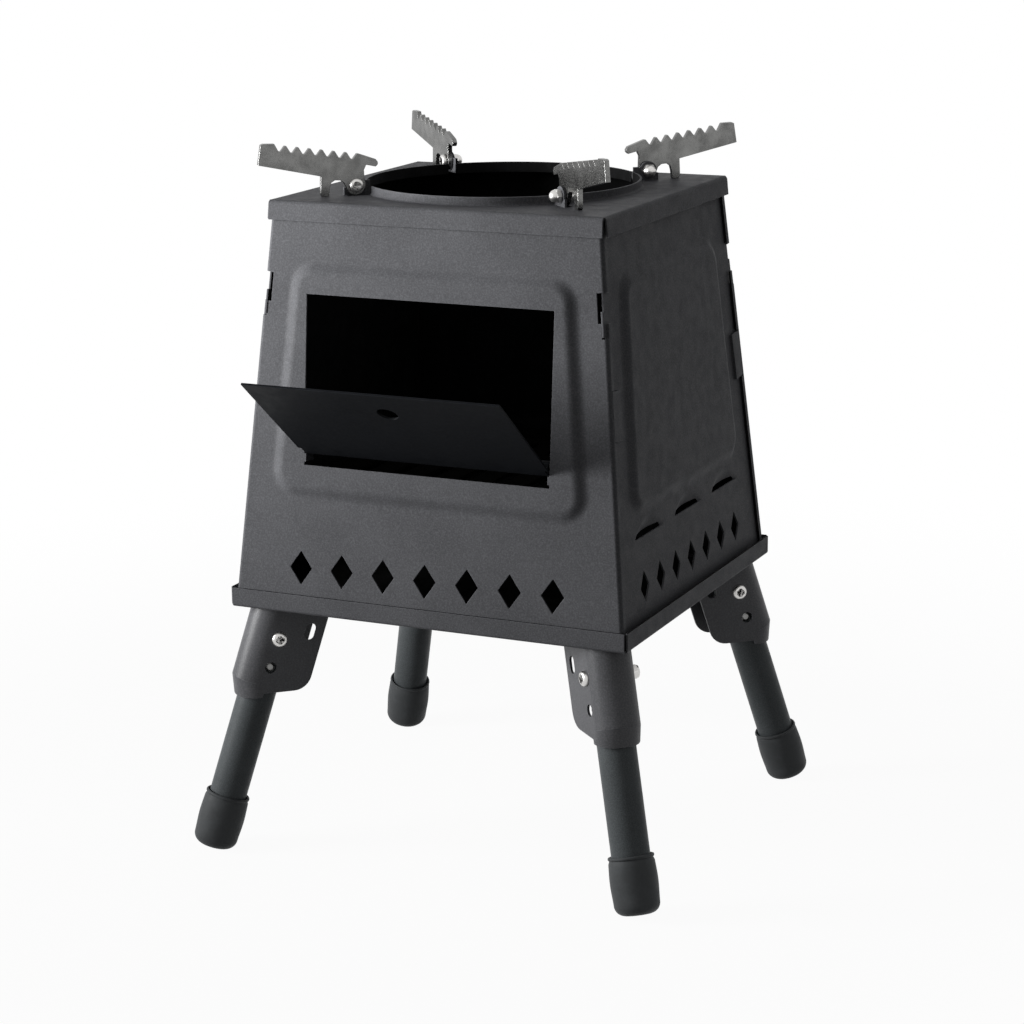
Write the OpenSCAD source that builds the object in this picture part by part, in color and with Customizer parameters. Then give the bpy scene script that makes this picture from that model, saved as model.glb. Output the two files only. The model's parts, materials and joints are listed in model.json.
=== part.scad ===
// Folding tent wood stove: four tapered sheet panels stand in a base tray under a lift-off top
// plate with a pot hole. Four folding legs and four folding pot supports sit on its diagonals.
// The origin is on the ground under the middle of the stove, and the feed door faces -Y.

/* [Base tray] */
// Width of the tray across its lips
tray_w = 250; // [230:1:280]
// Depth of the tray across its lips
tray_d = 232; // [215:1:260]
// Height of the tray's underside above the ground
tray_z = 148; // [135:1:170]
// Height of the turned-up lips
tray_lip = 11.5; // [8:0.5:16]
// Outer bend radius of the lips
tray_bend = 2; // [1.5:0.1:3]
// Thickness of every body sheet
sheet = 1.2; // [0.8:0.1:1.5]

/* [Panels] */
// Lean of all four panels from vertical, degrees
taper = 5.2; // [3:0.1:7]
// Height of the panels
panel_h = 233.9; // [220:1:260]
// Gap between the tray's side lips and the panels
lip_gap_x = 1.15; // [0.3:0.05:2]
// Gap between the tray's front and back lips and the panels
lip_gap_y = 0.45; // [0.3:0.05:2]
// Depth of the front and back panels' side flanges
flange_depth = 5.5; // [4.5:0.1:7]
// Outer bend radius of the flanges
flange_bend = 2.5; // [1.5:0.1:3]
// How far the side panels lie inside the flanges' outer faces
side_recess = 2; // [1.6:0.1:3]
// Gap between a side panel's edge and the front or back panel
side_gap = 0.3; // [0.2:0.1:1]
// Height of the pressed field on each panel above its sheet
emboss_h = 3; // [1:0.1:3.2]
// Width of the sloped step round the pressed field
emboss_step = 10; // [4:0.5:11]
// Corner radius of the pressed field
emboss_r = 17; // [12:1:22]
// Bottom of the pressed field above the panel's foot
emboss_bottom = 65.4; // [65:0.5:70]
// Top of the pressed field above the panel's foot
emboss_top = 204; // [190:1:210]
// Margin beside the pressed field on the front and back panels
emboss_margin = 15.4; // [14:0.5:22]
// Margin beside the pressed field on the side panels
side_emboss_margin = 21; // [18:0.5:26]

/* [Air holes] */
// Diamond holes in the front panel and in each side panel
diamonds = 7; // [3:1:7]
// Height of the diamonds' middle above the panel's foot
diamond_v = 26; // [22:0.5:30]
// Spacing of the diamonds in the front panel
diamond_pitch = 26.4; // [22:0.2:28]
// Width of a diamond in the front panel
diamond_w = 14.2; // [8:0.2:16]
// Height of a diamond in the front panel
diamond_h = 19.8; // [10:0.2:22]
// Spacing of the diamonds in the side panels
side_diamond_pitch = 24.1; // [20:0.2:26]
// Width of a diamond in the side panels
side_diamond_w = 12.8; // [8:0.2:14]
// Height of a diamond in the side panels
side_diamond_h = 18.4; // [10:0.2:22]
// Louvres in each side panel
louvres = 3; // [1:1:3]
// Spacing of the louvres
louvre_pitch = 59.9; // [52:0.5:64]
// Length of a louvre's scoop
louvre_w = 44; // [36:1:50]
// Height of the louvres' flat lower lip above the panel's foot
louvre_v = 54; // [50:0.5:55]
// Height of a louvre's scoop above its lip
louvre_top = 10.5; // [9:0.5:11]
// Depth that the scoop is drawn inward at its lower edge
louvre_depth = 3.6; // [3:0.1:4.5]
// Height of the open slit between the lip and the scoop's cut edge
louvre_slit = 2.4; // [1.5:0.1:3]

/* [Corner hooks] */
// Bottom of a corner notch, along the panel's edge
notch_v = 179.7; // [170:0.5:185]
// Height of a corner notch
notch_h = 16.6; // [12:0.2:20]
// Width of a corner notch in the front panel
notch_w = 5.3; // [4.5:0.1:7]
// Height of the narrow tail below a corner notch
notch_tail = 8.5; // [6:0.5:12]
// Clearance beside a hook in the tail of its notch
hook_gap = 0.2; // [0.1:0.05:0.5]
// Height of a hook
hook_h = 14; // [10:0.5:16]
// How far a hook stands through the front or back panel
hook_reach = 0.5; // [0:0.1:1]
// Bottom of the gap in each flange, along the panel's edge
flange_gap_v = 114.2; // [105:0.5:120]
// Height of the gap in each flange
flange_gap_h = 29; // [20:0.5:35]
// Clearance above and below a side panel's tab in the flange gap
tab_gap = 0.7; // [0.3:0.1:1.5]
// How far that tab is stepped outward, from the corner
tab_reach = 14; // [9:0.5:16]

/* [Feed door] */
// Width of the feed opening
opening_w = 153; // [140:1:156]
// Bottom of the feed opening above the panel's foot
opening_bottom = 86.5; // [84:0.5:90]
// Top of the feed opening above the panel's foot
opening_top = 184.2; // [170:0.5:190]
// Overlap of the shut door beside the opening
door_overlap = 1.3; // [0.8:0.1:3]
// Overlap of the shut door above the opening
door_top_overlap = 0.5; // [0.3:0.1:2]
// Thickness of the door
door_sheet = 1.2; // [0.8:0.1:1.6]
// Turn of the door from shut to open, degrees
door_turn = 57; // [40:1:60]
// Height of the hinge rod above the opening's bottom edge
rod_rise = 11.7; // [11:0.1:14]
// Distance of the hinge rod's axis behind the panel's flat sheet
rod_inset = 2.5; // [2.5:0.1:3.5]
// Diameter of the hinge rod
rod_d = 3; // [2.5:0.1:3.5]
// Gap between the shut door and the panel
door_gap = 0.3; // [0.2:0.1:0.8]
// Distance of the door's full-width edge above the hinge rod
door_step = 8.2; // [8:0.1:12]
// Diameter of the finger hole
finger_hole_d = 12; // [8:0.5:16]
// Distance of the finger hole's centre from the free edge
finger_hole_inset = 22; // [12:0.5:30]
// Distance of the finger hole's centre to the right of the door's middle
finger_hole_x = 3; // [-10:0.5:10]
// Knuckles rolled round the hinge rod
knuckles = 3; // [2:1:3]
// Length of a knuckle
knuckle_l = 16; // [10:1:20]
// Wall of a knuckle
knuckle_wall = 1.4; // [1:0.1:1.5]
// Wall of a hinge ear round its rod
ear_wall = 1.9; // [1.5:0.1:2]
// Clearance between the door's neck and the hinge ears
ear_gap = 0.8; // [0.6:0.1:1]
// Clearance between the open door and the noses that stop it
stop_gap = 0.15; // [0.1:0.01:0.3]
// Running clearance on the radius of a pin in its hole
pin_play = 0.05; // [0.02:0.01:0.1]

/* [Top plate] */
// Gap between the panels and the top plate's side flanges
cap_gap_x = 1.6; // [0.6:0.1:2.5]
// Gap between the panels and the top plate's front and back flanges
cap_gap_y = 0.95; // [0.6:0.05:2.5]
// Length of the top plate's turned-down flanges
cap_flange = 11.3; // [8:0.5:16]
// Outer bend radius of the top plate's flanges
cap_bend = 2.5; // [1.5:0.1:3]
// Radius of the pot hole inside its collar
pot_hole_r = 79.3; // [70:0.5:79.5]
// Height of the collar round the pot hole
collar_h = 5; // [3:0.5:6]
// Radius of the bend between the plate and its collar
collar_bend = 1.5; // [1:0.1:2]

/* [Pot supports] */
// Distance of a pot support's pivot from the stove's middle
support_s = 88.7; // [88:0.1:90]
// Height of a pot support's pivot above the top plate
support_rise = 5.8; // [5.8:0.1:6.4]
// Thickness of a pot support
support_t = 3; // [2:0.1:3.4]
// Radius of the round end at the pivot
support_lobe_r = 5.6; // [5:0.1:5.7]
// Notches in the top edge of a pot support
notches = 7; // [4:1:7]
// Spacing of those notches
tooth_pitch = 7; // [6.6:0.1:7]
// Depth of those notches
tooth_depth = 3.9; // [2.5:0.1:4.5]
// Slope of the toothed edge, degrees
tooth_slope = 8.4; // [6:0.2:10]
// Thickness of the tab that carries a pot support
tab_t = 1.5; // [1.2:0.1:2]
// Side play between a pot support and its tab
tab_play = 0.2; // [0.1:0.05:0.4]
// Play on the open side of a pot support in its slot
slot_play = 1.2; // [0.8:0.1:1.6]
// Length of the tab outside the pivot
tab_tail = 6.3; // [5.5:0.1:7]
// Length of the slot outside the pivot
slot_tail = 4.8; // [4.5:0.1:5.5]
// Wall of the tab round its screw
tab_wall = 3.3; // [2.5:0.1:3.5]
// Diameter of a pot support's screw
support_screw_d = 4; // [3:0.1:4.2]
// Diameter of its pan head
support_head_d = 8; // [6:0.5:9]
// Width of its cap nut across the flats
cap_nut_af = 7; // [6:0.5:8]
// Turn of a pot support from open to folded, degrees
support_fold = 165; // [120:1:165]

/* [Legs] */
// Lean of an open leg from vertical, degrees
leg_tilt = 17.9; // [12:0.1:18.5]
// Distance of a leg's pivot inward from the tray's corner
leg_inset = 25.5; // [24:0.5:28]
// Distance of a leg's pivot below the tray
pivot_drop = 19; // [18.5:0.1:20]
// Outer diameter of a leg tube
tube_d = 22; // [20:0.5:22.4]
// Wall of a leg tube
tube_wall = 1.5; // [1.2:0.1:2]
// Clearance between the end of a turning tube and its bracket's back
head_gap = 0.6; // [0.4:0.1:1]
// Outer diameter of a rubber foot
foot_d = 26; // [24.5:0.5:26]
// Length of a rubber foot
foot_l = 33; // [25:1:40]
// Radius of a foot's lower edge
foot_r = 6; // [4:0.5:7]
// How far a foot swells at its middle
foot_swell = 0.6; // [0:0.1:0.8]
// Depth of the opened mouth of a foot
foot_mouth = 4; // [2:0.5:6]
// How far that mouth stands off the tube
foot_flare = 0.8; // [0.3:0.1:1.2]
// Thickness of rubber under the tube
foot_floor = 6; // [5:0.5:8]
// Height worn flat under each foot
foot_flat = 0.4; // [0.3:0.1:0.6]
// Rise of a folded leg towards its foot, degrees
fold_rise = 2; // [0:0.5:2.5]
// Diameter of a leg's pivot screw
pivot_d = 5; // [4:0.1:6]
// Diameter of its pan head
pivot_head_d = 9; // [8:0.5:11]
// Width of its lock nut across the flats
pivot_nut_af = 8; // [7:0.5:10]
// Height of its lock nut
pivot_nut_h = 5; // [4:0.1:6]
// Distance of the lock button from the pivot
lock_s = 18; // [17.5:0.5:19]
// Diameter of the lock button
button_d = 5.9; // [5:0.1:6]
// Travel of the lock button
button_travel = 2; // [1.5:0.1:2.5]

/* [Leg brackets] */
// Thickness of a bracket's sheet
bracket_t = 1.6; // [1.2:0.1:2]
// Gap between a tube and a bracket's cheek
cheek_gap = 0.8; // [0.5:0.1:1.2]
// How far the round back's centre lies outside the leg's axis
back_offset = 4; // [3:0.5:5]
// Distance of the cheeks' inner edge from the leg's axis
cheek_reach = 25.3; // [24:0.1:28]
// Height of the cheeks
cheek_h = 51.5; // [50:0.5:54]
// Radius of the cheeks' lower inner corner
cheek_r = 11; // [8:0.5:13]
// Distance below the pivot at which the back is drawn in
neck_top = 29.2; // [28:0.2:30]
// Length of the drawn-in part of the back
neck_l = 11.2; // [10:0.2:12]
// Gap between the tube and the drawn-in back
neck_gap = 0.3; // [0.3:0.05:0.6]
// Width of the slot that takes the button of a folded leg
lock_slot_w = 6.2; // [6:0.1:6.8]
// Travel of the button in that slot
lock_slot_l = 4; // [2:0.5:4]
// Diameter of the lock hole
lock_hole_d = 6.8; // [6.2:0.1:7.2]
// Length of a bracket's rivet tabs
rivet_tab = 12; // [10:0.5:14]
// Diameter of a rivet
rivet_d = 4; // [3:0.5:4.8]
// Distance of each rivet from the leg's plane
rivet_n = 7; // [6:0.5:7.5]
// Gap from a bracket's inner edge to its rivet tabs
rivet_tab_inset = 1.5; // [1:0.1:3]
// Half of the gap between a bracket's two rivet tabs
rivet_tab_gap = 2.5; // [2:0.1:3.5]

/* [Fire grate] */
// Gap between the grate and the front and back panels
grate_gap = 4.3; // [2:0.1:8]
// Height above the louvres' lips at which the grate's edges rest on the scoops
grate_seat = 6; // [3:0.5:8]
// Thickness of the grate
grate_t = 2; // [1.5:0.1:3]
// Height of the grate's turned-down edges
grate_rim = 8; // [5:0.5:10]
// Rows of slots in the grate
grate_rows = 5; // [3:1:6]
// Slots in each row
grate_slots = 9; // [5:1:10]
// Width of a slot in the grate
grate_slot_w = 8; // [5:0.5:10]
// Plain margin round the slots
grate_margin = 12; // [8:1:20]
// Bar between two rows of slots
grate_bar = 10; // [6:1:14]

/* [Hidden] */
$fn = 48;
hull_fn = 32;
eps = 0.01;
far = 400;

black = [0.22, 0.22, 0.23];
dark = [0.12, 0.12, 0.13];
grey = [0.45, 0.45, 0.45];
silver = [0.78, 0.78, 0.78];

// Corners, and on which side of its plane each leg shows its screw head and button
front_right = 0;
back_right = 1;
back_left = 2;
front_left = 3;
corners = [front_right, back_right, back_left, front_left];
head_side = [-1, -1, 1, 1];
function corner_azimuth(i, w, d) =
    [-atan2(d, w), atan2(d, w), 180 - atan2(d, w), 180 + atan2(d, w)][i];

// Heights, and the outer size of the panels at their foot
floor_z = tray_z + sheet;
top_z = floor_z + panel_h;
half_w = tray_w / 2 - sheet - lip_gap_x;
half_d = tray_d / 2 - sheet - lip_gap_y;
slant_h = panel_h / cos(taper);
edge_lean = atan(sin(taper));
tail_w = side_recess + sheet + hook_gap;
tab_h = flange_gap_h - 2 * tab_gap;
cap_half_w = half_w - panel_h * tan(taper) + cap_gap_x + sheet;
cap_half_d = half_d - panel_h * tan(taper) + cap_gap_y + sheet;

// Ball that a louvre's scoop is pressed round: radius of the circle it cuts out of the panel's
// face, that circle's middle above the lip, the ball's middle outside the face, and its radius
lens_r = (pow(louvre_w / 2, 2) + pow(louvre_top, 2)) / (2 * louvre_top);
lens_v = louvre_top - lens_r;
ball_rise = (pow(louvre_w / 2, 2) - pow(louvre_depth, 2)) / (2 * louvre_depth);
ball_r = norm([ball_rise, lens_r]);

// Top plate and pot supports, seen in the plane of one support
plate_top = top_z + sheet;
collar_r = pot_hole_r + sheet;
tab_n = -support_t / 2 - tab_play - tab_t;
slot_n0 = -support_t / 2 - tab_play;
slot_n1 = support_t / 2 + slot_play;
tab_r = support_screw_d / 2 + tab_wall;

// Legs, seen in the plane of one leg
corner_s = norm([tray_w / 2, tray_d / 2]);
pivot_s = corner_s - leg_inset;
pivot_z = tray_z - pivot_drop;
foot_end = (pivot_z + foot_flat - foot_r - (foot_d / 2 - foot_r) * sin(leg_tilt)) / cos(leg_tilt) + foot_r;
cheek_n = tube_d / 2 + cheek_gap;
tube_head = back_offset + sqrt(pow(cheek_n, 2) - pow(tube_d / 2, 2)) - head_gap;
bracket_n = cheek_n + bracket_t;
folded_dir = 180 - fold_rise;
rivet_s = rivet_tab / 2 + rivet_tab_inset;
thread_end = 0.6;

// Feed door, measured from its hinge rod
rod_v = opening_bottom + rod_rise;
door_face = rod_inset + emboss_h + door_gap;
door_half_w = opening_w / 2 + door_overlap;
door_reach = opening_top + door_top_overlap - rod_v;
ear_t = sheet;
neck_gap_x = 0.6;
neck_half_w = opening_w / 2 - neck_gap_x;
knuckle_gap = 0.7;
knuckle_half_w = opening_w / 2 - ear_t - knuckle_gap;
rod_r = rod_d / 2;
rod_head = 0.7;
web_rise = rod_r + 0.3;
ear_r = rod_r + ear_wall;
web_narrow = ear_r + ear_gap;
nose_w = rod_inset + emboss_h;
nose_reach = min((nose_w - web_rise * sin(door_turn)) / cos(door_turn), door_face + door_sheet);
nose_v = web_rise * cos(door_turn) - nose_reach * sin(door_turn) - stop_gap;

// Points of an arc, for polygons with round corners
function arc(c, r, a0, a1, n = 6) = [for (k = [0:n]) c + r * [cos(a0 + (a1 - a0) * k / n), sin(a0 + (a1 - a0) * k / n)]];

// ---- Sheet forms ----

// Section of a sheet edge bent through 90 - flare degrees, its strip running down
module bent_section(r, strip, flare = 0) {
    translate([-r, -r]) {
        intersection() {
            difference() {
                circle(r);
                circle(r - sheet);
            }
            polygon([[0, 0], 2 * r * [cos(flare), sin(flare)], 2 * r * [1, 1], [0, 2 * r]]);
        }
        rotate(flare) translate([r - sheet, -strip]) square([sheet, strip]);
    }
}

// Bent edge along one side of a level plate: dir turns it round the middle
module bent_edge(dir, half, length, r, strip, flare = 0) {
    rotate([0, 0, dir]) translate([half, 0, 0]) rotate([90, 0, 0])
        linear_extrude(length, center = true) bent_section(r, strip, flare);
}

// Level plate with four bent edges, its top at z = 0
module pan(w, d, r, strip, flare = 0) {
    slit = sheet + 0.3;
    translate([-w / 2 + r, -d / 2 + r, -sheet]) cube([w - 2 * r, d - 2 * r, sheet]);
    for (dir = [0, 180]) bent_edge(dir, w / 2, d - 2 * r, r, strip, flare);
    for (dir = [90, 270]) bent_edge(dir, d / 2, w - 2 * slit, r, strip, flare);
}

// Panel frame: x along the panel, y up its slope from its foot, z out of its outer face
module on_panel(dir, half) {
    rotate([0, 0, dir]) translate([0, -half, floor_z]) rotate([90 - taper, 0, 0]) children();
}

// Edge frame: x out of the panel's slanted side edge, y up along it, at both edges
module at_edges(half) {
    for (m = [0, 1]) mirror([m, 0, 0]) translate([half, 0, 0]) rotate([0, 0, edge_lean]) children();
}

module panel_slab() {
    translate([-far / 2, -far / 2, floor_z]) cube([far, far, panel_h]);
}

module panel_sheet(half, edge, z0) {
    foot = half - edge;
    top = foot - slant_h * sin(taper);
    over = 2;
    k = over * sin(taper);
    translate([0, 0, z0]) linear_extrude(sheet)
        polygon([[-foot - k, -over], [foot + k, -over], [top - k, slant_h + over], [-top + k, slant_h + over]]);
}

// Pressed field: a rounded trapezoid that rises emboss_h above the face
module pressed_field(half, margin, z0, inset, deep = 0) {
    r = emboss_r - inset;
    rows = [emboss_bottom + emboss_r, emboss_top - emboss_r];
    hull() for (v = rows, side = [-1, 1]) {
        u = side * (half - v * sin(taper) - margin - emboss_r);
        translate([u, v, z0 - deep]) cylinder(r = r, h = eps + deep, $fn = hull_fn);
        translate([u, v, z0 + emboss_h - eps]) cylinder(r = r - emboss_step, h = eps, $fn = hull_fn);
    }
}

module diamond_row(pitch, w, h) {
    for (k = [0:diamonds - 1])
        translate([(k - (diamonds - 1) / 2) * pitch, diamond_v, -far / 20]) linear_extrude(far / 10)
            polygon([[-w / 2, 0], [0, -h / 2], [w / 2, 0], [0, h / 2]]);
}

// ---- Body ----

module base_tray() color(black) difference() {
    translate([0, 0, tray_z]) mirror([0, 0, 1]) pan(tray_w, tray_d, tray_bend, tray_lip - tray_bend);
    for (i = corners) at_rivets(i) cylinder(d = rivet_d + 2 * pin_play, h = far, center = true);
}

// Front or back panel: flat face, flanged sides, pressed field, corner notches as wide as notch
module flanged_panel(notch) {
    difference() {
        union() {
            panel_sheet(half_w, flange_bend, -sheet);
            at_edges(half_w) rotate([-90, 0, 0]) translate([0, 0, -5]) linear_extrude(slant_h + 10) {
                mirror([0, 1]) bent_section(flange_bend, flange_depth - flange_bend);
                translate([-flange_bend - 1, 0]) square([1 + eps, sheet]);
            }
            pressed_field(half_w, emboss_margin, 0, 0);
        }
        pressed_field(half_w, emboss_margin, -sheet, 0.5, 1);
        at_edges(half_w) {
            translate([-notch, notch_v, -flange_depth - 1]) cube([notch + 1, notch_h, flange_depth + 2]);
            translate([-tail_w, notch_v - notch_tail, -flange_bend])
                cube([far / 10, notch_tail + eps, flange_bend + 1]);
            translate([-flange_bend, flange_gap_v, -flange_depth - 1])
                cube([flange_bend + 1, flange_gap_h, flange_depth + 1 - flange_bend]);
        }
    }
}

module back_panel() color(black) intersection() {
    on_panel(180, half_d) flanged_panel(tail_w);
    panel_slab();
}

// Ear bent in from the opening's side edge, with the rod's hole and a nose that stops the door
module hinge_ear() {
    foot = 2 - rod_rise;
    rotate([90, 0, 90]) linear_extrude(ear_t) difference() {
        union() {
            circle(ear_r);
            translate([foot, -ear_r]) square([-foot, 2 * ear_r]);
            translate([foot, -ear_r]) square([nose_v - foot, ear_r + nose_w]);
        }
        circle(rod_r + pin_play);
    }
}

module front_panel() color(black) intersection() {
    on_panel(0, half_d) {
        difference() {
            flanged_panel(notch_w);
            diamond_row(diamond_pitch, diamond_w, diamond_h);
            translate([-opening_w / 2, opening_bottom, -10]) cube([opening_w, opening_top - opening_bottom, 20]);
        }
        for (m = [0, 1]) mirror([m, 0, 0]) translate([opening_w / 2 - ear_t, rod_v, -rod_inset]) hinge_ear();
    }
    panel_slab();
}

// Part of that ball, grown by grow, that lies above low and reaches out to z1
module louvre_part(grow, low, z1) {
    intersection() {
        translate([0, lens_v, ball_rise - side_recess]) sphere(ball_r + grow, $fn = 96);
        translate([-louvre_w, low, -far / 20]) cube([2 * louvre_w, louvre_w, z1 + far / 20]);
    }
}

module side_panel(dir) color(black) intersection() {
    on_panel(dir, half_w) {
        difference() {
            union() {
                panel_sheet(half_d, sheet + side_gap, -side_recess - sheet);
                pressed_field(half_d, side_emboss_margin, -side_recess, 0);
                at_louvres() louvre_part(sheet, louvre_slit, -side_recess - eps);
            }
            pressed_field(half_d, side_emboss_margin, -side_recess - sheet, 0.5, 1);
            diamond_row(side_diamond_pitch, side_diamond_w, side_diamond_h);
            at_louvres() louvre_part(0, 0, -side_recess + sheet / 2);
        }
        at_edges(half_d) {
            side_tab();
            translate([-sheet - 3, notch_v - notch_tail + 1, -side_recess - sheet])
                cube([sheet + 3 + hook_reach, hook_h, sheet]);
        }
    }
    panel_slab();
}

module at_louvres() {
    for (k = [0:louvres - 1]) translate([(k - (louvres - 1) / 2) * louvre_pitch, louvre_v, 0]) children();
}

// Tab of a side panel, stepped outward to lie flush in the flange gap
module side_tab() {
    front = -flange_bend - side_gap;
    translate([-tab_reach, flange_gap_v + tab_gap, 0]) {
        translate([0, 0, -sheet]) cube([tab_reach + front, tab_h, sheet]);
        translate([0, 0, -side_recess - sheet]) cube([sheet, tab_h, side_recess + sheet]);
    }
}

module top_plate() color(black) difference() {
    union() {
        translate([0, 0, plate_top]) difference() {
            pan(2 * cap_half_w, 2 * cap_half_d, cap_bend, cap_flange - cap_bend, taper);
            cylinder(r = collar_r + collar_bend / 2, h = 10, center = true);
        }
        translate([0, 0, plate_top]) rotate_extrude() polygon(concat(
            [[pot_hole_r, -sheet], [collar_r + collar_bend, -sheet]],
            arc([collar_r + collar_bend, collar_bend], collar_bend, 270, 180),
            [[collar_r, collar_h], [pot_hole_r, collar_h]]
        ));
        for (i = corners) support_frame(i) support_tab();
    }
    for (i = corners) support_frame(i) {
        translate([-far / 20, slot_n0, -support_rise - sheet - 1])
            cube([far / 20 + slot_tail, slot_n1 - slot_n0, sheet + collar_h + 3]);
        rotate([90, 0, 0]) cylinder(d = support_screw_d + 2 * pin_play, h = 20, center = true);
    }
}

// Frame of one pot support: its pivot, x outward, y counter-clockwise, z up
module support_frame(i) {
    rotate([0, 0, corner_azimuth(i, cap_half_w, cap_half_d)])
        translate([support_s, 0, plate_top + support_rise]) children();
}

module support_tab() {
    inner = pot_hole_r + 0.1 - support_s;
    foot = -support_rise - sheet;
    translate([0, tab_n + tab_t, 0]) rotate([90, 0, 0]) linear_extrude(tab_t) {
        circle(tab_r);
        translate([inner, foot]) square([-inner, -foot + 2.2]);
        translate([0, foot]) square([tab_tail, -foot - 1.5]);
    }
}

module fire_grate() color(dark) {
    // Point of the scoops that carries the grate, as a height up the panel and a depth behind its face
    ledge_v = louvre_v + grate_seat;
    ledge_w = side_recess - ball_rise + sqrt(pow(ball_r + sheet, 2) - pow(grate_seat - lens_v, 2));
    w = 2 * (half_w - ledge_v * sin(taper) - ledge_w * cos(taper));
    d = 2 * (half_d - ledge_v * sin(taper) - sheet - grate_gap);
    rest_z = floor_z + ledge_v * cos(taper) - ledge_w * sin(taper) + 2 * eps;
    pitch_x = (w - 2 * grate_margin) / grate_slots;
    pitch_y = (d - 2 * grate_margin + grate_bar) / grate_rows;
    translate([0, 0, rest_z]) difference() {
        union() {
            translate([-w / 2, -d / 2, 0]) cube([w, d, grate_t]);
            for (m = [0, 1]) mirror([0, m, 0])
                translate([grate_margin - w / 2, d / 2 - grate_t, grate_t - grate_rim])
                    cube([w - 2 * grate_margin, grate_t, grate_rim]);
        }
        for (k = [0:grate_slots - 1], j = [0:grate_rows - 1])
            translate([(k - (grate_slots - 1) / 2) * pitch_x, (j - (grate_rows - 1) / 2) * pitch_y, -1])
                grate_slot(pitch_y - grate_bar);
    }
}

module grate_slot(length) {
    straight = length - grate_slot_w;
    linear_extrude(grate_t + 2) {
        square([grate_slot_w, straight], center = true);
        for (side = [-1, 1]) translate([0, side * straight / 2]) circle(d = grate_slot_w);
    }
}

// ---- Feed door ----

module at_rod() {
    on_panel(0, half_d) translate([0, rod_v, -rod_inset]) children();
}

module feed_door() color(black) at_rod() rotate([door_turn, 0, 0]) difference() {
    union() {
        translate([-door_half_w, door_step, door_face]) cube([2 * door_half_w, door_reach - door_step, door_sheet]);
        translate([-neck_half_w, web_rise, door_face]) cube([2 * neck_half_w, door_step - web_rise + eps, door_sheet]);
        translate([-neck_half_w, web_rise, web_narrow])
            cube([2 * neck_half_w, sheet, door_face + door_sheet - web_narrow]);
        translate([-knuckle_half_w, web_rise, 0]) cube([2 * knuckle_half_w, sheet, web_narrow + eps]);
        for (x = knuckle_places()) translate([x, 0, 0]) rotate([0, 90, 0])
            cylinder(r = rod_r + knuckle_wall, h = knuckle_l, center = true);
    }
    rotate([0, 90, 0]) cylinder(r = rod_r + pin_play, h = far, center = true);
    translate([finger_hole_x, door_reach - finger_hole_inset, 0]) cylinder(d = finger_hole_d, h = 20);
}

function knuckle_places() =
    [for (k = [0:knuckles - 1]) (2 * k / (knuckles - 1) - 1) * (knuckle_half_w - knuckle_l / 2)];

module door_hinge_rod() color(silver) at_rod() rotate([0, 90, 0]) {
    cylinder(r = rod_r, h = opening_w, center = true);
    for (m = [0, 1]) mirror([0, 0, m]) translate([0, 0, opening_w / 2]) cylinder(r = rod_r + rod_head, h = 1);
}

// ---- Leg brackets ----

// Upright frame of one leg: its pivot, x outward, y counter-clockwise, z up
module leg_frame(i) {
    rotate([0, 0, corner_azimuth(i, tray_w, tray_d)]) translate([pivot_s, 0, pivot_z]) children();
}

// The same frame leaned over, with z up along the leg and y to the side of the screw head
module along_leg(i) {
    leg_frame(i) rotate([0, -leg_tilt, 0]) mirror([0, head_side[i] < 0 ? 1 : 0, 0]) children();
}

module at_rivets(i) {
    leg_frame(i) for (side = [-1, 1])
        translate([cheek_edge(pivot_drop)[0] + rivet_s, side * rivet_n, pivot_drop]) children();
}

// Point of the cheeks' inner edge at height z above the pivot
function cheek_edge(z, reach = cheek_reach) =
    [-reach / cos(leg_tilt) - z * tan(leg_tilt), z];

module cheek_outline() {
    low = pivot_drop - cheek_h;
    centre = cheek_edge(low + cheek_r, cheek_reach - cheek_r);
    polygon(concat(
        [[far / 8, pivot_drop], cheek_edge(pivot_drop)],
        arc(centre, cheek_r, 180 + leg_tilt, 270),
        [[far / 8, low]]
    ));
}

// Solid column of the bracket's U section, drawn n from the leg's plane
module u_column(n, z0, z1) {
    translate([0, 0, z0]) linear_extrude(z1 - z0) {
        translate([back_offset, 0]) circle(n);
        translate([-cheek_reach - 20, -n]) square([cheek_reach + 20 + back_offset, 2 * n]);
    }
}

// Drawn-in lower end of the round back
module neck(n, over) {
    hull() {
        translate([0, 0, -neck_top]) cylinder(r = n, h = over, $fn = hull_fn);
        translate([back_offset, 0, -neck_top]) cylinder(r = n, h = over, $fn = hull_fn);
        translate([neck_gap - cheek_gap, 0, -neck_top - neck_l - over]) cylinder(r = n, h = eps, $fn = hull_fn);
    }
}

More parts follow.
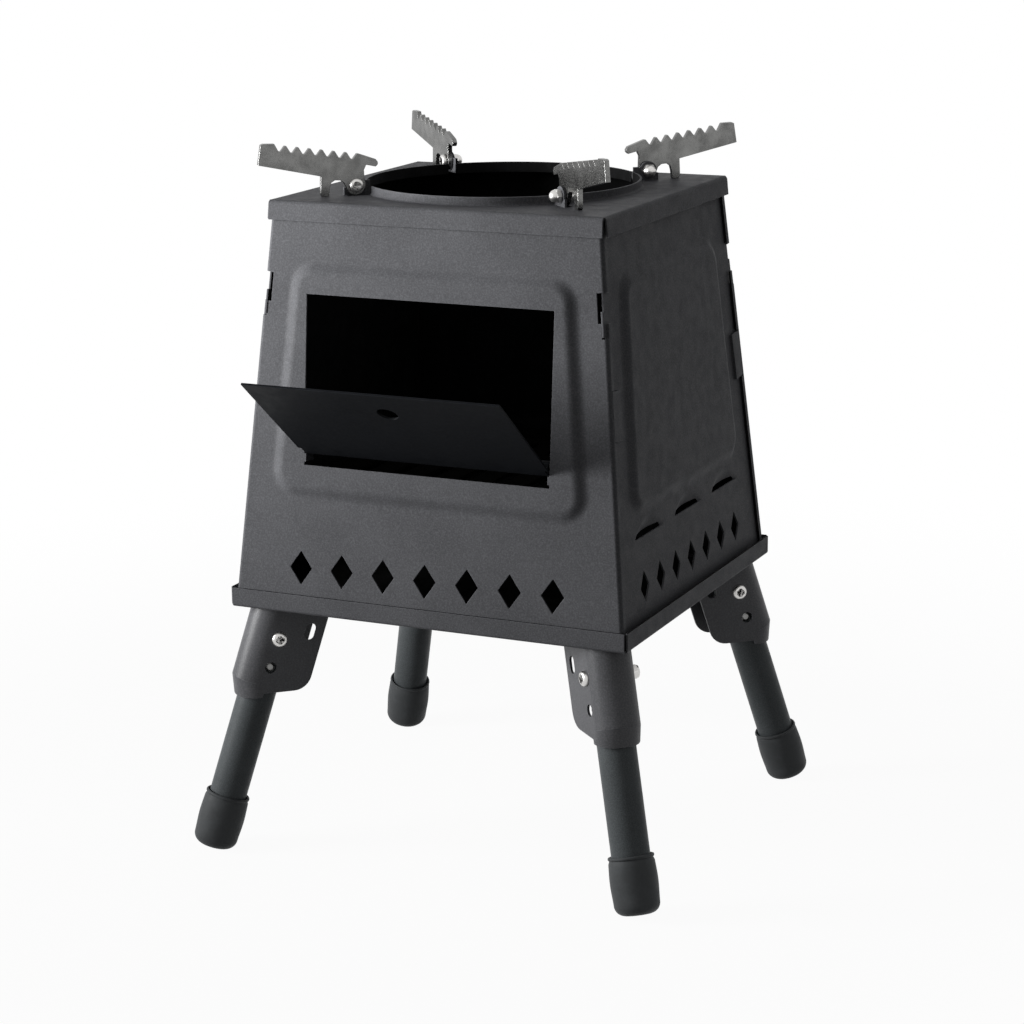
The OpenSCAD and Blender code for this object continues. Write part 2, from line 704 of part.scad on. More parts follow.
module leg_bracket(i) color(black) difference() {
    union() {
        intersection() {
            union() {
                intersection() {
                    leg_frame(i) rotate([90, 0, 0]) linear_extrude(far / 4, center = true) cheek_outline();
                    along_leg(i) difference() {
                        u_column(bracket_n, -neck_top - neck_l, far / 8);
                        translate([0, 0, -far / 8]) u_column(cheek_n, 0, far / 2);
                        translate([0, -far / 8, -neck_top - neck_l - 1]) cube([far / 8, far / 4, neck_l + 1]);
                    }
                }
                along_leg(i) intersection() {
                    difference() {
                        neck(bracket_n, eps);
                        neck(cheek_n, 0.2);
                    }
                    translate([-eps, -far / 8, -far / 4]) cube([far / 8, far / 4, far / 4]);
                }
            }
            leg_frame(i) translate([-far / 4, -far / 4, pivot_drop - cheek_h - 2.5])
                cube([far / 2, far / 2, cheek_h + 2.5]);
        }
        leg_frame(i) for (m = [0, 1]) mirror([0, m, 0])
            translate([cheek_edge(pivot_drop)[0] + rivet_tab_inset, rivet_tab_gap, pivot_drop - bracket_t])
                cube([rivet_tab, bracket_n - rivet_tab_gap - 0.5, bracket_t]);
    }
    at_rivets(i) cylinder(d = rivet_d + 2 * pin_play, h = 10, center = true);
    leg_frame(i) rotate([90, 0, 0]) cylinder(d = pivot_d + 2 * pin_play, h = far / 4, center = true);
    along_leg(i) translate([0, 0, -lock_s]) rotate([-90, 0, 0]) cylinder(d = lock_hole_d, h = 30);
    leg_frame(i) rotate([90, 0, 0]) linear_extrude(far / 4, center = true) lock_slot();
}

module lock_slot() {
    translate(lock_s * [cos(folded_dir), sin(folded_dir)]) rotate(leg_tilt) {
        translate([-lock_slot_w / 2, 0]) square([lock_slot_w, lock_slot_l]);
        for (y = [0, lock_slot_l]) translate([0, y]) circle(d = lock_slot_w);
    }
}

module bracket_rivets() color(dark) for (i = corners) at_rivets(i) {
    translate([0, 0, -bracket_t]) cylinder(d = rivet_d, h = bracket_t + sheet);
    translate([0, 0, -bracket_t]) mirror([0, 0, 1]) cylinder(r1 = rivet_d * 0.85, r2 = rivet_d * 0.5, h = 1.4);
    translate([0, 0, sheet]) cylinder(r1 = rivet_d * 0.8, r2 = rivet_d * 0.6, h = 1);
}

// ---- Screws and nuts ----

// Pan head with a cross recess, its seat at z = 0 and its shank running down
module pan_screw(d, head_d, length) {
    h = head_d * 0.3;
    recess_w = head_d * 0.56;
    recess_t = head_d * 0.13;
    translate([0, 0, -length]) cylinder(d = d, h = length);
    difference() {
        rotate_extrude() polygon(concat(
            [[0, 0], [head_d / 2, 0]],
            arc([head_d / 2 - h * 0.7, h * 0.3], h * 0.7, 0, 90, 4),
            [[0, h]]
        ));
        for (turn = [20, 110]) rotate(turn) translate([-recess_w / 2, -recess_t / 2, h - recess_t])
            cube([recess_w, recess_t, h]);
    }
}

module leg_pivot_screws() color(silver) for (i = corners) along_leg(i)
    translate([0, bracket_n, 0]) rotate([-90, 0, 0])
        pan_screw(pivot_d, pivot_head_d, 2 * bracket_n + pivot_nut_h + thread_end);

// Hexagon with its upper corners turned off
module hexagon(af, h) {
    corner = af / 2 / cos(30);
    chamfer = (corner - af / 2) * tan(30);
    intersection() {
        cylinder(r = corner, h = h, $fn = 6);
        rotate_extrude() polygon([[0, 0], [corner, 0], [corner, h - chamfer], [af / 2, h], [0, h]]);
    }
}

// Lock nuts: a hexagon under a round collar that grips the thread
module leg_pivot_nuts() color(silver) for (i = corners) along_leg(i)
    translate([0, -bracket_n, 0]) rotate([90, 0, 0]) difference() {
        union() {
            hexagon(pivot_nut_af, pivot_nut_h * 0.74);
            cylinder(d = pivot_nut_af - 0.8, h = pivot_nut_h);
        }
        cylinder(d = pivot_d, h = 20, center = true);
    }

module pot_support_screws() color(silver) for (i = corners) support_frame(i)
    translate([0, support_t / 2 + tab_play, 0]) rotate([-90, 0, 0])
        pan_screw(support_screw_d, support_head_d, support_t + 2 * tab_play + tab_t + 4);

// Domed cap nuts, seated on the tabs
module pot_support_nuts() color(silver) for (i = corners) support_frame(i)
    translate([0, tab_n, 0]) rotate([90, 0, 0]) difference() {
        union() {
            hexagon(cap_nut_af, 3);
            rotate_extrude() polygon(concat([[0, 2.9]], arc([0, 2.9], cap_nut_af / 2, 0, 90, 8)));
        }
        translate([0, 0, -1]) cylinder(d = support_screw_d, h = 5.05);
    }

// ---- Legs ----

module leg_tube(i) color(dark) along_leg(i) difference() {
    low = foot_end - foot_floor;
    translate([0, 0, -low]) cylinder(d = tube_d, h = low + tube_head);
    translate([0, 0, -low - 1]) cylinder(d = tube_d - 2 * tube_wall, h = low + tube_head + 2);
    rotate([90, 0, 0]) cylinder(d = pivot_d + 2 * pin_play, h = far / 4, center = true);
    translate([0, 0, -lock_s]) rotate([-90, 0, 0]) cylinder(d = button_d + 2 * pin_play, h = 30);
}

// Rubber foot: slightly barrelled cup with a rounded lower edge, worn flat on the ground
module foot(i) color(dark) difference() {
    rise = foot_l - foot_r;
    along_leg(i) translate([0, 0, -foot_end]) difference() {
        rotate_extrude() polygon(concat(
            [[0, 0]],
            arc([foot_d / 2 - foot_r, foot_r], foot_r, 270, 360),
            [for (k = [1:5]) [foot_d / 2 + foot_swell * sin(36 * k), foot_r + rise * k / 5]],
            [[0, foot_l]]
        ));
        translate([0, 0, foot_floor]) cylinder(d = tube_d, h = foot_l);
        translate([0, 0, foot_l - foot_mouth])
            cylinder(r1 = tube_d / 2, r2 = tube_d / 2 + foot_flare, h = foot_mouth + eps);
    }
    translate([-far, -far, -20]) cube([2 * far, 2 * far, 20]);
}

// Domed lock button behind its hole in the tube, with a flange that keeps it in
module lock_button(i) color(silver) along_leg(i) {
    r = button_d / 2;
    seat = sqrt(pow(tube_d / 2 - tube_wall, 2) - pow(r + 1, 2)) - 0.2;
    crown = tube_d / 2 + 0.6 - seat;
    translate([0, seat, -lock_s]) rotate([-90, 0, 0]) rotate_extrude() polygon([
        [0, -1], [r + 1, -1], [r + 1, 0], [r, 0], [r, crown - 1.3], [r * 0.85, crown - 0.6],
        [r * 0.55, crown - 0.15], [0, crown]
    ]);
}

// Leaf spring in the tube: one leaf under the button, one on the far wall
module button_spring(i) color(silver) along_leg(i) {
    leaf = 0.5;
    width = 5;
    bore = tube_d / 2 - tube_wall;
    upper = sqrt(pow(bore, 2) - pow(button_d / 2 + 1, 2)) - 1.3;
    lower = -sqrt(pow(bore, 2) - pow(width / 2, 2)) + 0.2;
    r = (upper - lower) / 2;
    arm = 30;
    top = -lock_s + 4;
    rotate([90, 0, 90]) linear_extrude(width, center = true) {
        translate([upper - leaf, top - arm]) square([leaf, arm]);
        translate([lower, top - arm]) square([leaf, arm]);
        translate([(upper + lower) / 2, top - arm]) difference() {
            circle(r);
            circle(r - leaf);
            translate([-r - 1, 0]) square(2 * r + 2);
        }
    }
}

// ---- Pot supports ----

// Side of a pot support, measured from its pivot
module support_outline() {
    drop = tooth_pitch * tan(tooth_slope);
    first = [43.9, 21.2];
    land = [[56.6, 13.8], [54.8, 25.2], [53.3, 25.8], [46.8, 25.6]];
    teeth = [for (k = [0:notches - 1]) each [
        first + [0.6 - k * tooth_pitch, -k * drop],
        first + [-0.6 - k * tooth_pitch, -k * drop],
        first + [-tooth_pitch / 2 + 0.5 - k * tooth_pitch, tooth_depth - 0.9 - k * drop],
        first + [-tooth_pitch / 2 - 0.5 - k * tooth_pitch, tooth_depth - 1 - k * drop]
    ]];
    nose = [[-12.1, 14.3], [-13.3, 12.6], [-13.2, 11.2], [-12, 10], [-6.4, 11.3]];
    lobe = [[-5, 8.5], [-5.2, 1.5], [5.2, -1.9], [6.9, 1.6]];
    arch = [[9, 3.1], [12.2, 3.3], [14.4, 1.9]];
    foot_z = -support_rise + 0.05;
    leg = [[15.1, -0.4], [15.8, foot_z], [19.9, foot_z], [20.7, foot_z + 1.6], [20.3, 5.9]];
    polygon(concat(land, teeth, nose, lobe, arch, leg));
    circle(support_lobe_r);
}

module pot_support(i) color(grey) support_frame(i) rotate([90, 0, 0])
    linear_extrude(support_t, center = true) difference() {
        support_outline();
        circle(support_screw_d / 2 + pin_play);
    }

base_tray();
front_panel();
back_panel();
side_panel(-90);  // left_panel
side_panel(90);  // right_panel
top_plate();
fire_grate();
feed_door();
door_hinge_rod();
leg_bracket(front_left);  // leg_bracket_front_left
leg_bracket(front_right);  // leg_bracket_front_right
leg_bracket(back_left);  // leg_bracket_back_left
leg_bracket(back_right);  // leg_bracket_back_right
bracket_rivets();
leg_pivot_screws();
leg_pivot_nuts();
leg_tube(front_left);  // leg_tube_front_left
leg_tube(front_right);  // leg_tube_front_right
leg_tube(back_left);  // leg_tube_back_left
leg_tube(back_right);  // leg_tube_back_right
foot(front_left);  // foot_front_left
foot(front_right);  // foot_front_right
foot(back_left);  // foot_back_left
foot(back_right);  // foot_back_right
lock_button(front_left);  // lock_button_front_left
lock_button(front_right);  // lock_button_front_right
lock_button(back_left);  // lock_button_back_left
lock_button(back_right);  // lock_button_back_right
button_spring(front_left);  // button_spring_front_left
button_spring(front_right);  // button_spring_front_right
button_spring(back_left);  // button_spring_back_left
button_spring(back_right);  // button_spring_back_right
pot_support(front_left);  // pot_support_front_left
pot_support(front_right);  // pot_support_front_right
pot_support(back_left);  // pot_support_back_left
pot_support(back_right);  // pot_support_back_right
pot_support_screws();
pot_support_nuts();
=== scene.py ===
import json
from math import cos, radians, sin

import bmesh
import bpy
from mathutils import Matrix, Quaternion, Vector
from mathutils.bvhtree import BVHTree


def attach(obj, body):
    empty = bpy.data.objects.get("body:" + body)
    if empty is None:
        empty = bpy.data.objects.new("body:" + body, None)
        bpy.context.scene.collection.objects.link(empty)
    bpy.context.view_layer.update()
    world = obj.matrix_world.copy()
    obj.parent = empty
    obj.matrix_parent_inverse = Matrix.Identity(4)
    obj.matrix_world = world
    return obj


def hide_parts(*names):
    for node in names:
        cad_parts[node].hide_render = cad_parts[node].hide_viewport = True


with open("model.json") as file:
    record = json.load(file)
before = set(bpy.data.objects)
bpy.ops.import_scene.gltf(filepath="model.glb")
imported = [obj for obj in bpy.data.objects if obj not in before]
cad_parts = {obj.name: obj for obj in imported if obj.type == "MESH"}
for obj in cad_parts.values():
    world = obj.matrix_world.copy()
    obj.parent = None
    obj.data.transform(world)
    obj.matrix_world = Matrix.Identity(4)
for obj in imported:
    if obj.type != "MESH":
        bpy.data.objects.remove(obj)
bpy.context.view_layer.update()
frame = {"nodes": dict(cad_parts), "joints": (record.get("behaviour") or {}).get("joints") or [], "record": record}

MM = 0.001
JOINTS = {joint["name"]: joint for joint in frame["joints"]}
CORNERS = ("front_left", "front_right", "back_left", "back_right")
UP = Vector((0, 0, 1))


# ---- Shader maths ----


class Wire:
    """A value in a finish. Operators on it add Math nodes."""

    def __init__(self, finish, socket):
        self.finish = finish
        self.socket = socket

    def maths(self, operation, *values):
        return self.finish.node("ShaderNodeMath", {"operation": operation}, dict(enumerate(values)))

    def __add__(self, other):
        return self.maths("ADD", self, other)

    def __sub__(self, other):
        return self.maths("SUBTRACT", self, other)

    def __rsub__(self, other):
        return self.maths("SUBTRACT", other, self)

    def __mul__(self, other):
        return self.maths("MULTIPLY", self, other)

    __radd__ = __add__
    __rmul__ = __mul__

    def ramp(self, low, high, start=0.0, end=1.0):
        """This value read between low and high as a smooth step from start to end."""
        values = {"Value": self, "From Min": low, "From Max": high, "To Min": start, "To Max": end}
        return self.finish.node("ShaderNodeMapRange", {"interpolation_type": "SMOOTHSTEP"}, values)


class Finish:
    """A material in the making, with its Principled shader."""

    def __init__(self, name):
        self.material = bpy.data.materials.new(name)
        self.material.use_nodes = True
        self.tree = self.material.node_tree
        self.shader = self.tree.nodes["Principled BSDF"]
        self.place = self.node("ShaderNodeTexCoord", out="Object")

    def node(self, kind, settings=None, sockets=None, out=0):
        """Adds one node: its settings first, then the values or links of its sockets."""
        made = self.tree.nodes.new(kind)
        for name, value in (settings or {}).items():
            setattr(made, name, value)
        for name, value in (sockets or {}).items():
            self.feed(made.inputs[name], value)
        return Wire(self, made.outputs[out])

    def feed(self, socket, value):
        if isinstance(value, Wire):
            self.tree.links.new(value.socket, socket)
        else:
            socket.default_value = value

    def shine(self, **sockets):
        """Sets the shader's own sockets, such as Base_Color."""
        for name, value in sockets.items():
            self.feed(self.shader.inputs[name.replace("_", " ")], value)

    def noise(self, size, detail=3.0, roughness=0.5):
        """Noise whose blotches are about that many metres across."""
        values = {"Vector": self.place, "Scale": 1 / size, "Detail": detail, "Roughness": roughness}
        return self.node("ShaderNodeTexNoise", sockets=values)

    def blend(self, share, first, second):
        """Mixes two colours, given as plain numbers or as values."""
        values = {"Factor": share, "A": (*first, 1) if isinstance(first, tuple) else first}
        values["B"] = (*second, 1) if isinstance(second, tuple) else second
        made = self.tree.nodes.new("ShaderNodeMix")
        made.data_type = "RGBA"
        colours = {"Factor": made.inputs[0], "A": made.inputs[6], "B": made.inputs[7]}
        for name, value in values.items():
            self.feed(colours[name], value)
        return Wire(self, made.outputs[2])

    def relief(self, height, depth):
        """Bump of that height, depth metres at full height."""
        values = {"Height": height, "Distance": depth, "Strength": 1.0}
        self.shine(Normal=self.node("ShaderNodeBump", sockets=values))

    def marked(self, mark):
        """1 on the faces that carry the mark, 0 elsewhere."""
        return self.node("ShaderNodeAttribute", {"attribute_name": mark}, out="Fac")


# ---- Finishes ----

# Near-black for the firebox's insides: soot, and the shade inside the firebox painted in.
SOOT_AND_SHADE = (0.004, 0.004, 0.004)
SATIN_LACQUER = 0.35


def coating(name, colour, grain, depth, rough, sheen, rub_and_highlight=0.45):
    """Baked-on black coating with a fine grain, rubbed edges that are lightened also as a painted edge highlight,
    sooted insides painted near-black also as the firebox's shade, and satin lacquer on the brackets.
    """
    f = Finish(name)
    fine = f.noise(grain * MM, detail=5.0, roughness=0.7)
    cloud = f.noise(38 * MM, detail=3.0)
    smear = f.noise(7 * MM, detail=5.0)
    lick = f.noise(16 * MM, detail=4.0, roughness=0.6)
    ground = f.blend(cloud.ramp(0.3, 0.7), tuple(c * 0.86 for c in colour), tuple(c * 1.14 for c in colour))
    speck = f.blend(fine.ramp(0.38, 0.7), tuple(c * 0.72 for c in colour), tuple(c * 1.75 for c in colour))
    mottled = f.blend(0.5, ground, speck)
    # Eased edges painted lighter: worn coating, and a painted highlight along the edges.
    wear_and_highlight = f.marked("eased_edge") * smear.ramp(0.35, 0.6, 0.35, 1.0) * rub_and_highlight
    # Faces inside the firebox painted near-black: soot and painted shade.
    soot_and_shade = f.marked("soot_and_shade") * lick.ramp(0.2, 0.6, 0.88, 0.97)
    rubbed_and_highlit = f.blend(wear_and_highlight, mottled, tuple(min(1.0, c * 2.6) for c in colour))
    f.shine(
        Base_Color=f.blend(soot_and_shade, rubbed_and_highlit, SOOT_AND_SHADE),
        Roughness=smear.ramp(0.3, 0.7, rough - 0.05, rough + 0.06) - wear_and_highlight * 0.15 + soot_and_shade * 0.25,
        Metallic=0.0,
        Specular_IOR_Level=sheen,
        Coat_Weight=f.marked("satin") * SATIN_LACQUER,
        Coat_Roughness=0.38,
    )
    f.relief(fine, depth * MM)
    return f.material


def bare_steel(name, colour, grain, depth, rough, cloud=0.2, metallic=1.0, sheen=0.5):
    """Uncoated steel, blasted or drawn, with a fine grain, faint stains and lighter eased edges that are partly
    wear and partly a painted highlight.
    """
    f = Finish(name)
    fine = f.noise(grain * MM, detail=4.0, roughness=0.6)
    stain = f.noise(9 * MM, detail=4.0)
    dark = tuple(c * (1 - cloud) for c in colour)
    light = tuple(min(1.0, c * (1 + cloud)) for c in colour)
    ground = f.blend((stain * 0.5 + fine * 0.5).ramp(0.36, 0.64), dark, light)
    f.shine(
        # Eased edges painted lighter: wear, and a painted edge highlight.
        Base_Color=f.blend(f.marked("eased_edge") * 0.45, ground, tuple(min(1.0, c * 1.7) for c in colour)),
        Roughness=fine.ramp(0.3, 0.7, rough - 0.07, rough + 0.07),
        Metallic=metallic,
        Specular_IOR_Level=sheen,
    )
    f.relief(fine, depth * MM)
    return f.material


def rubber(name, colour):
    """Moulded rubber with a matt, slightly dusty skin."""
    f = Finish(name)
    fine = f.noise(0.5 * MM, detail=3.0)
    dust = f.noise(11 * MM, detail=5.0, roughness=0.6)
    f.shine(
        Base_Color=f.blend(dust.ramp(0.42, 0.72, 0.0, 0.5), colour, tuple(c * 1.7 for c in colour)),
        Roughness=dust.ramp(0.3, 0.7, 0.5, 0.64),
        Specular_IOR_Level=0.15,
    )
    f.relief(fine, 0.03 * MM)
    return f.material


FINISHES = {
    "stove_coating": coating("stove_coating", (0.085, 0.086, 0.092), 0.9, 0.06, 0.55, 0.05),
    # The door's edges are painted much lighter: wear, and a painted edge highlight.
    "door_coating": coating("door_coating", (0.0065, 0.0071, 0.0084), 0.6, 0.015, 0.42, 0.03, rub_and_highlight=0.9),
    "tube_coating": coating("tube_coating", (0.08, 0.088, 0.092), 0.6, 0.02, 0.46, 0.1),
    "rivet_coating": coating("rivet_coating", (0.06, 0.06, 0.064), 0.6, 0.03, 0.5, 0.1),
    "foot_rubber": rubber("foot_rubber", (0.064, 0.068, 0.071)),
    "support_steel": bare_steel("support_steel", (0.155, 0.155, 0.152), 0.6, 0.02, 0.26, cloud=0.3),
    "plated_fasteners": bare_steel("plated_fasteners", (0.6, 0.59, 0.575), 0.3, 0.006, 0.36, cloud=0.1),
    "button_steel": bare_steel("button_steel", (0.16, 0.16, 0.157), 0.3, 0.01, 0.32, cloud=0.25),
    "spring_steel": bare_steel("spring_steel", (0.4, 0.4, 0.41), 0.3, 0.01, 0.35),
    # The grate is nearly black: partly its own dark steel, partly painted shade inside the firebox, with almost no
    # sheen.
    "grate_steel": bare_steel(
        "grate_steel", (0.005, 0.0048, 0.0045), 0.6, 0.06, 0.9, metallic=0.0, sheen=0.02
    ),
    "rod_steel": bare_steel("rod_steel", (0.2, 0.2, 0.2), 0.3, 0.01, 0.4),
}
SLOT_OF = {row["node"]: row["material_slot"] for row in frame["record"]["subparts"]}


def body_of_node(node):
    return next(name for name, nodes in frame["record"]["behaviour"]["bodies"].items() if node in nodes)


# ---- Pieces that keep their shape, with eased edges ----

SHARP = radians(38)
SHEET_EASE = 0.22 * MM
SMALL_EASE = 0.12 * MM
SAME_CORNER = 0.002 * MM
ALMOST_FLAT = radians(0.4)
# Marks read by the finishes: eased edges wear and carry a painted edge highlight, the soot mark also paints the
# shade inside the firebox, satin carries lacquer.
MARKS = ("eased_edge", "soot_and_shade", "satin")


def merged_copy(node, join=SAME_CORNER):
    """The node's own shape as one joined surface of flat faces, without lips lower than join."""
    bm = bmesh.new()
    bm.from_mesh(frame["nodes"][node].data)
    bmesh.ops.remove_doubles(bm, verts=bm.verts, dist=join)
    bmesh.ops.dissolve_limit(
        bm, verts=bm.verts, edges=bm.edges, angle_limit=ALMOST_FLAT,
        use_dissolve_boundaries=False, delimit={"NORMAL"},
    )
    lay_marks(bm)
    return bm


def lay_marks(bm):
    """Room for the marks that the finishes read."""
    for mark in MARKS:
        bm.faces.layers.float.new(mark)


def mark_faces(bm, mark, faces):
    layer = bm.faces.layers.float[mark]
    for face in faces:
        face[layer] = 1.0


def ease_edges(bm, width):
    """Rounds the sharp edges and marks the new faces, where the coating rubs thin and where a light edge highlight
    is painted.
    """
    before = BVHTree.FromBMesh(bm)
    sharp = [e for e in bm.edges if len(e.link_faces) == 2 and e.calc_face_angle(0) > SHARP]
    made = bmesh.ops.bevel(
        bm, geom=sharp, offset=width, offset_type="OFFSET", affect="EDGES", segments=2,
        profile=0.5, material=-1, clamp_overlap=False, loop_slide=True,
    )
    mark_faces(bm, "eased_edge", made["faces"])
    for vert in made["verts"]:
        nearest, _, _, away = before.find_nearest(vert.co)
        if away > width / 2:
            vert.co = nearest


def into_piece(bm, name, node):
    """Turns the surface into a piece that stands for the node and moves with its body."""
    mesh = bpy.data.meshes.new(name)
    for face in bm.faces:
        face.smooth = True
    bm.to_mesh(mesh)
    bm.free()
    mesh.set_sharp_from_angle(angle=SHARP)
    piece = bpy.data.objects.new(name, mesh)
    bpy.context.scene.collection.objects.link(piece)
    mesh.materials.append(FINISHES[SLOT_OF[node]])
    piece.modifiers.new("even_shading", "WEIGHTED_NORMAL").keep_sharp = True
    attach(piece, body_of_node(node))
    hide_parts(node)


# ---- Panels: their pressed fields rise in a soft S ----

TAPER = radians(5.2)
SHEET = 1.2 * MM
FIELD_RISE = 3.0 * MM
STEP_LEVELS = 8
STEP_LIP = 0.03 * MM
STEP_SLACK = 0.02 * MM
OUTWARD = {"front_panel": (0, -1), "back_panel": (0, 1), "left_panel": (-1, 0), "right_panel": (1, 0)}


def panel_facing(node):
    x, y = OUTWARD[node]
    return Vector((x * cos(TAPER), y * cos(TAPER), sin(TAPER)))


def step_faces(bm, facing, low, side):
    """Sloped faces of one skin's step, which starts at the level low. side is 1 outside and -1 inside."""
    for face in bm.faces:
        lean = face.normal.dot(facing) * side
        if 0.5 < lean < 0.999:
            levels = [vert.co.dot(facing) - low for vert in face.verts]
            if min(levels) > -STEP_SLACK and max(levels) < FIELD_RISE + STEP_SLACK:
                yield face


def soften_step(bm, facing):
    """Cuts the straight step round the pressed field into bands and bends them to a soft S."""
    top = max(vert.co.dot(facing) for vert in bm.verts)
    for side, low in ((1, top - FIELD_RISE), (-1, top - FIELD_RISE - SHEET)):
        for k in range(1, STEP_LEVELS):
            band = list(step_faces(bm, facing, low, side))
            parts = {part for face in band for part in (face, *face.edges, *face.verts)}
            level = facing * (low + FIELD_RISE * k / STEP_LEVELS)
            bmesh.ops.bisect_plane(bm, geom=list(parts), dist=1e-7, plane_co=level, plane_no=facing)
        bend = {vert for face in step_faces(bm, facing, low, side) for vert in face.verts}
        for vert in bend:
            share = (vert.co.dot(facing) - low) / FIELD_RISE
            soft = share**3 * (6 * share * share - 15 * share + 10)
            vert.co += facing * FIELD_RISE * (soft - share)
    bm.normal_update()


def dress_panel(node):
    bm = merged_copy(node, STEP_LIP)
    facing = panel_facing(node)
    soften_step(bm, facing)
    # The panel's inward faces get the near-black of soot and painted shade.
    mark_faces(bm, "soot_and_shade", [face for face in bm.faces if face.normal.dot(facing) < -0.35])
    ease_edges(bm, SHEET_EASE)
    into_piece(bm, "eased_" + node, node)


# ---- Tray, top plate, door, brackets, supports and fasteners ----

COLLAR_R = 81 * MM


def faces_fire(node, face):
    """True for the faces of the tray and the top plate that look into the firebox."""
    if node == "base_tray":
        return face.normal.z > 0.9 and face.calc_area() > 1e-4
    if node == "top_plate":
        centre = face.calc_center_median()
        across = Vector((centre.x, centre.y, 0))
        inward = across.length < COLLAR_R and face.normal.dot(across) < -0.5 * across.length
        return inward or face.normal.z < -0.5
    return False


def dress(node, ease=SHEET_EASE):
    bm = merged_copy(node)
    # Faces that look into the firebox get the near-black of soot and painted shade.
    mark_faces(bm, "soot_and_shade", [face for face in bm.faces if faces_fire(node, face)])
    ease_edges(bm, ease)
    if node.startswith("leg_bracket"):
        mark_faces(bm, "satin", bm.faces)
    into_piece(bm, "eased_" + node, node)


# ---- Feet: moulded rubber cups, spun round their legs ----

FOOT_R = 13 * MM
FOOT_L = 33 * MM
FOOT_TOE = 6 * MM
FOOT_SWELL = 0.6 * MM
FOOT_FLOOR = 6 * MM
FOOT_LIP = 0.1 * MM
LIP_ROUND = 0.7 * MM
LIP_RISE = 1 * MM
TUBE_R = 11 * MM
LEG_TILT = radians(17.9)


def foot_profile():
    """Half section from the middle of the sole, out, up and over the lip, and down inside to the floor."""
    outer = [(0, 0), (3 * MM, 0)]
    for k in range(10):
        turn = radians(10 * k)
        outer.append((FOOT_R - FOOT_TOE + FOOT_TOE * sin(turn), FOOT_TOE - FOOT_TOE * cos(turn)))
    straight = FOOT_L - FOOT_TOE - 2 * MM
    for k in range(1, 13):
        outer.append((FOOT_R + FOOT_SWELL * sin(radians(180 * k / 13)) ** 1.5, FOOT_TOE + straight * k / 13))
    for k in range(7):
        turn = radians(30 * k - 90)
        reach = FOOT_R - LIP_ROUND + (LIP_ROUND + FOOT_LIP) * cos(turn)
        outer.append((reach, FOOT_L - LIP_RISE + LIP_RISE * sin(turn)))
    inner = [(TUBE_R + 0.7 * MM, FOOT_L - 0.6 * MM), (TUBE_R + 0.35 * MM, FOOT_L - 4 * MM)]
    inner += [(TUBE_R + 0.03 * MM, FOOT_L - 9 * MM), (TUBE_R + 0.03 * MM, FOOT_FLOOR), (0, FOOT_FLOOR)]
    return outer + inner


def mould_foot(corner):
    joint = JOINTS["leg_fold_" + corner]
    pivot = Vector(joint["pos_m"])
    outward = Vector(joint["axis"]).cross(UP)
    down = outward * sin(LEG_TILT) - UP * cos(LEG_TILT)
    solid = frame["nodes"]["foot_" + corner].data
    sole = pivot + down * max((vert.co - pivot).dot(down) for vert in solid.vertices)
    aside = down.cross(outward).normalized().cross(down)
    bm = bmesh.new()
    verts = [bm.verts.new(sole + aside * r - down * t) for r, t in foot_profile()]
    edges = [bm.edges.new(pair) for pair in zip(verts, verts[1:])]
    bmesh.ops.spin(
        bm, geom=verts + edges, cent=sole, axis=down, angle=radians(360), steps=96,
        use_merge=True, use_duplicate=False,
    )
    bmesh.ops.remove_doubles(bm, verts=bm.verts, dist=1e-6)
    bmesh.ops.recalc_face_normals(bm, faces=bm.faces)
    whole = [*bm.verts, *bm.edges, *bm.faces]
    ground = Vector((0, 0, 0))
    cut = bmesh.ops.bisect_plane(bm, geom=whole, dist=1e-7, plane_co=ground, plane_no=-UP, clear_outer=True)
    rim = [part for part in cut["geom_cut"] if isinstance(part, bmesh.types.BMEdge)]
    bmesh.ops.contextual_create(bm, geom=rim)
    lay_marks(bm)
    into_piece(bm, "moulded_foot_" + corner, "foot_" + corner)


# ---- Every piece gets its dress ----

for node in OUTWARD:
    dress_panel(node)
SHEETS = ["base_tray", "top_plate", "feed_door"]
SHEETS += [kind + corner for kind in ("leg_bracket_", "pot_support_", "leg_tube_") for corner in CORNERS]
for node in SHEETS:
    dress(node)
FASTENERS = ["leg_pivot_screws", "leg_pivot_nuts", "pot_support_screws", "pot_support_nuts", "bracket_rivets"]
for node in FASTENERS:
    dress(node, SMALL_EASE)
for corner in CORNERS:
    mould_foot(corner)

# ---- Every other node keeps its shape and gets its finish ----

for node, thing in frame["nodes"].items():
    thing.data.materials.clear()
    thing.data.materials.append(FINISHES[SLOT_OF[node]])

# ---- Camera, floor and light ----

VIEW_AZIMUTH = radians(24.876)
VIEW_HEIGHT = radians(14.254)
VIEW_ROLL = radians(-0.644)
VIEW_DISTANCE = 1.64607
AIM = (0.002867, 0.189384)
LENS_MM = 96.64
FLOOR_WHITE = 0.95
FLOOR_PAPER = (0.92, 0.92, 0.92)
FLOOR_BOUNCE = (0.06, 0.06, 0.06)
ROOM_LIGHT = 0.185
KEY_PLACE = (-0.8, -0.52, 0.45)
KEY_AIM = (-0.18, -0.1, 0.59)
KEY_SIZE = (0.35, 0.5)
KEY_WATTS = 7.2
KEY_SPREAD = radians(90)


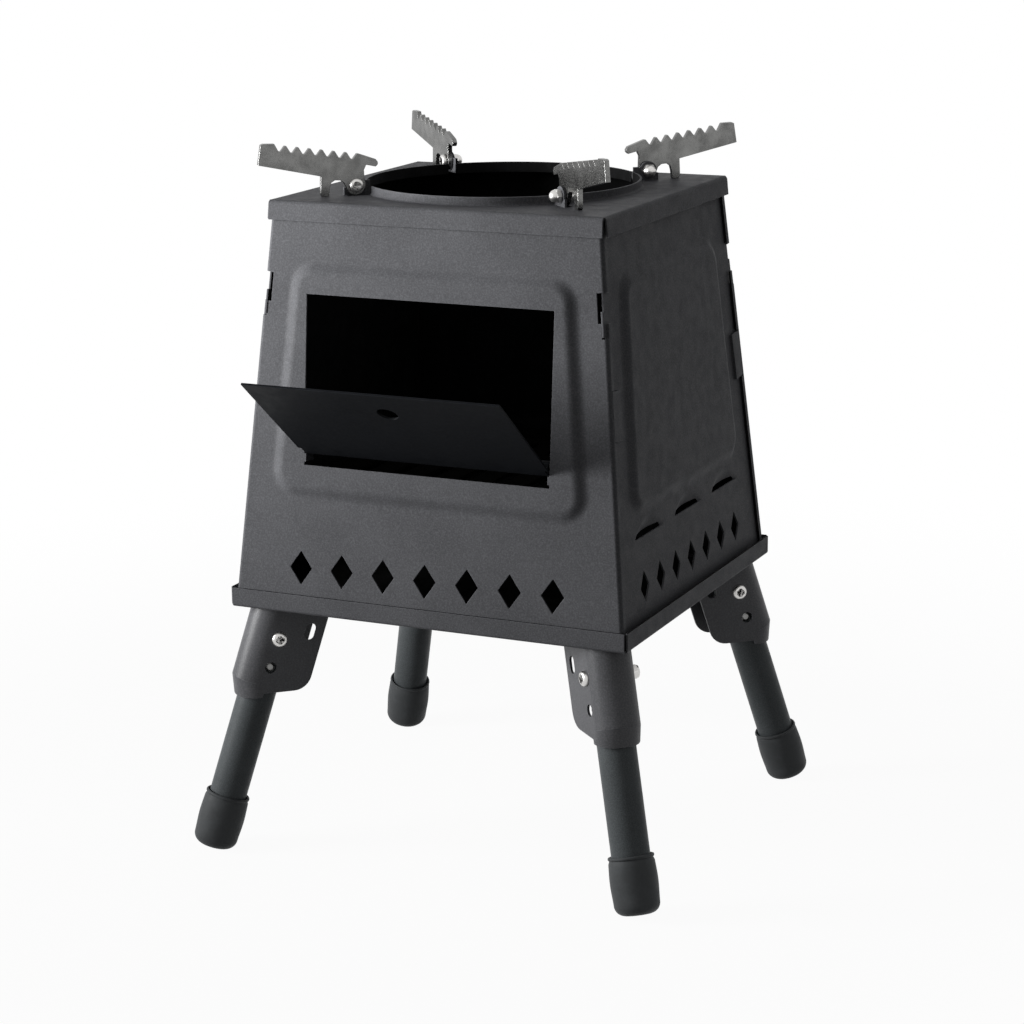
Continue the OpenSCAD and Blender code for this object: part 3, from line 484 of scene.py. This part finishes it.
def stand_camera():
    """Camera at the photograph's viewpoint, aimed a little beside the stove's axis."""
    level = cos(VIEW_HEIGHT)
    back = Vector((sin(VIEW_AZIMUTH) * level, -cos(VIEW_AZIMUTH) * level, sin(VIEW_HEIGHT)))
    beside = Vector((cos(VIEW_AZIMUTH), sin(VIEW_AZIMUTH), 0))
    camera = bpy.data.objects.new("camera", bpy.data.cameras.new("camera"))
    camera.data.lens = LENS_MM
    camera.data.clip_start = 0.05
    camera.data.clip_end = 50
    camera.location = back * VIEW_DISTANCE + beside * AIM[0] + UP * AIM[1]
    camera.rotation_mode = "QUATERNION"
    camera.rotation_quaternion = back.to_track_quat("Z", "Y") @ Quaternion((0, 0, 1), VIEW_ROLL)
    bpy.context.scene.collection.objects.link(camera)
    bpy.context.scene.camera = camera


def hang_softbox():
    """The one soft lamp, behind a grid, so that its light falls off away from where it aims."""
    light = bpy.data.lights.new("key_light", "AREA")
    light.shape = "RECTANGLE"
    light.size, light.size_y = KEY_SIZE
    light.energy = KEY_WATTS
    light.spread = KEY_SPREAD
    lamp = bpy.data.objects.new("key_light", light)
    lamp.location = KEY_PLACE
    lamp.rotation_mode = "QUATERNION"
    lamp.rotation_quaternion = (Vector(KEY_PLACE) - Vector(KEY_AIM)).to_track_quat("Z", "Y")
    bpy.context.scene.collection.objects.link(lamp)


def pale_floor():
    """A wide paper floor that turns white away from the stove."""
    bm = bmesh.new()
    bmesh.ops.create_circle(bm, cap_ends=True, segments=96, radius=6)
    mesh = bpy.data.meshes.new("floor")
    bm.to_mesh(mesh)
    bm.free()
    floor = bpy.data.objects.new("floor", mesh)
    bpy.context.scene.collection.objects.link(floor)
    f = Finish("floor_paper")
    looked_at = backdrop_ray(f)
    f.shine(Base_Color=f.blend(looked_at, FLOOR_BOUNCE, FLOOR_PAPER), Roughness=0.9)
    glow = f.node("ShaderNodeEmission", sockets={"Color": (1, 1, 1, 1), "Strength": 1.0})
    from_stove = f.node("ShaderNodeVectorMath", {"operation": "LENGTH"}, {0: f.place}, out="Value")
    share = looked_at * from_stove.ramp(0.2, 0.9, FLOOR_WHITE, 1.0)
    seen = f.node("ShaderNodeMixShader", sockets={0: share, 1: Wire(f, f.shader.outputs[0]), 2: glow})
    f.feed(f.tree.nodes["Material Output"].inputs["Surface"], seen)
    mesh.materials.append(f.material)


def backdrop_ray(f):
    """1 where the camera, a mirror or glass looks, 0 for light that falls on the stove."""
    rays = ("Is Camera Ray", "Is Glossy Ray", "Is Transmission Ray")
    looks = [f.node("ShaderNodeLightPath", out=ray) for ray in rays]
    return looks[0].maths("MAXIMUM", looks[0], looks[1].maths("MAXIMUM", looks[1], looks[2]))


class Room(Finish):
    """The world as a finish in the making."""

    def __init__(self, name):
        self.world = bpy.data.worlds.new(name)
        self.world.use_nodes = True
        self.tree = self.world.node_tree


def pale_room():
    """A plain room: soft grey light on the stove, white where the camera or a mirror looks past it."""
    room = Room("room")
    bpy.context.scene.world = room.world
    lit = room.node("ShaderNodeBackground", sockets={"Color": (1, 1, 1, 1), "Strength": ROOM_LIGHT})
    seen = room.node("ShaderNodeBackground", sockets={"Color": (1, 1, 1, 1), "Strength": 1.0})
    both = room.node("ShaderNodeMixShader", sockets={0: backdrop_ray(room), 1: lit, 2: seen})
    room.feed(room.tree.nodes["World Output"].inputs["Surface"], both)


stand_camera()
pale_floor()
pale_room()
hang_softbox()
bpy.context.scene.view_settings.view_transform = "Standard"
